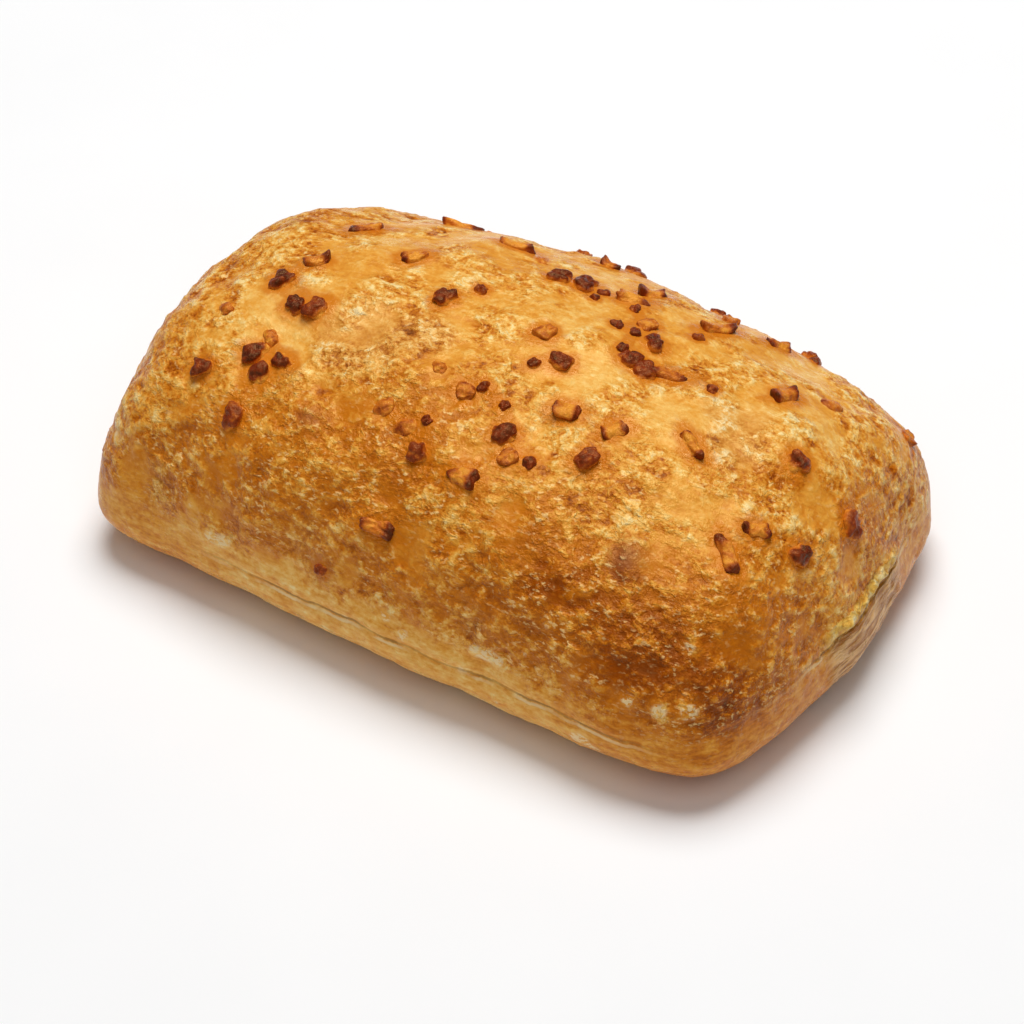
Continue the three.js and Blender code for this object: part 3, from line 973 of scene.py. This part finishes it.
def crust_material():
    shader = Shader("crust")
    grains = crust_grains(shader)
    ruffling = shader.between(shader.attribute("flaky"), 0, 1, 0.4, 1.3)
    thread = shader.times(shader.near(grains.threads, 0.5, 0, 0.04), shader.between(grains.plates, 0.4, 0.6))
    film = shader.plus(shader.attribute("film"), shader.swing(grains.scales, 0.9))
    film = shader.between(film, 0.25, 0.7)
    colour = baked_colour(shader, grains, ruffling, thread)
    colour = with_marks(shader, grains, ruffling, film, colour)
    colour, torn_relief = with_crease(shader, grains, colour)
    rough = shader.plus(shader.between(grains.scales, 0.4, 0.65, 0.4, 0.24), shader.times(film, -0.06))
    shader.dress(Base_Color=colour, Roughness=rough)
    shader.dress(Specular_IOR_Level=0.4, Specular_Tint=linear(*SHINE_COLOUR))
    rounded = shader.between(grains.scales, 0.46, 0.64)
    parts = [(rounded, 0.16), (grains.flecks, 0.4), (thread, 0.1), (grains.fine, 0.2), (grains.glints, 0.15)]
    ruffle = shader.times(shader.total(parts), ruffling)
    shader.bump(shader.plus(ruffle, torn_relief), 1)
    return shader.material


def onion_material():
    shader = Shader("onion")
    fine = shader.grain(1.2, detail=4)
    char = shader.plus(shader.attribute("char"), shader.swing(fine, 0.8))
    rough = shader.between(fine, 0.3, 0.7, 0.22, 0.42)
    shader.dress(Base_Color=shader.ramp(char, ONION_COLOURS), Roughness=rough)
    shader.dress(Specular_IOR_Level=0.5, Specular_Tint=linear(*SHINE_COLOUR))
    shader.bump(fine, 0.6)
    return shader.material


def floor_material():
    shader = Shader("floor")
    colour = shader.ramp(shader.grain(60, detail=2), FLOOR_COLOURS)
    shader.dress(Base_Color=colour, Roughness=0.9, Specular_IOR_Level=0.1)
    return shader.material


# Stage, light and camera
def add_floor():
    corners = [(x * FLOOR_REACH, y * FLOOR_REACH, 0) for x, y in ((-1, -1), (1, -1), (1, 1), (-1, 1))]
    mesh = bpy.data.meshes.new("floor")
    mesh.from_pydata(corners, [], [(0, 1, 2, 3)])
    mesh.materials.append(floor_material())
    floor = bpy.data.objects.new("floor", mesh)
    bpy.context.collection.objects.link(floor)


def view_axes():
    """The camera's right, up and backward directions."""
    right = Vector((math.cos(VIEW_AZIMUTH), math.sin(VIEW_AZIMUTH), 0))
    level = Vector((math.sin(VIEW_AZIMUTH), -math.cos(VIEW_AZIMUTH), 0))
    back = level * math.cos(VIEW_ELEVATION) + Vector((0, 0, math.sin(VIEW_ELEVATION)))
    return right, back.cross(right), back


def add_aimed(obj, target):
    """Turns a camera or light towards a target and puts it in the scene."""
    obj.rotation_euler = (target - obj.location).to_track_quat("-Z", "Y").to_euler()
    bpy.context.collection.objects.link(obj)


def add_camera():
    right, up, back = view_axes()
    middle = Vector((0, 0, HEIGHT / 2))
    data = bpy.data.cameras.new("camera")
    data.sensor_width = SENSOR_WIDTH
    data.lens = VIEW_LENS
    camera = bpy.data.objects.new("camera", data)
    camera.location = (middle + back * VIEW_DISTANCE) * MM
    add_aimed(camera, (middle + right * AIM_RIGHT + up * AIM_UP) * MM)
    bpy.context.scene.camera = camera


def add_lights():
    for name, power, size, distance, elevation, turn in LIGHTS:
        data = bpy.data.lights.new(name, "AREA")
        data.shape = "DISK"
        data.size = size
        data.energy = power
        light = bpy.data.objects.new(name, data)
        level = math.cos(math.radians(elevation)) * distance
        heading = VIEW_AZIMUTH + math.radians(turn)
        height = math.sin(math.radians(elevation)) * distance
        light.location = (level * math.sin(heading), -level * math.cos(heading), height)
        add_aimed(light, Vector((0, 0, 0)))


def add_sky():
    world = bpy.data.worlds.new("sky")
    world.use_nodes = True
    world.node_tree.nodes["Background"].inputs["Color"].default_value = (1, 1, 1, 1)
    world.node_tree.nodes["Background"].inputs["Strength"].default_value = SKY_STRENGTH
    bpy.context.scene.world = world
    bpy.context.scene.view_settings.view_transform = "Standard"


def add_bread():
    crust = crust_piece()
    crust.data.materials.append(crust_material())
    onion = onion_piece()
    onion.data.materials.append(onion_material())
    for piece, slot in ((crust, "crust"), (onion, "onion")):
        bpy.context.collection.objects.link(piece)
        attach(piece, "root")
    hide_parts("loaf")


add_camera()
add_lights()
add_sky()
add_floor()
add_bread()

bpy.context.view_layer.update()
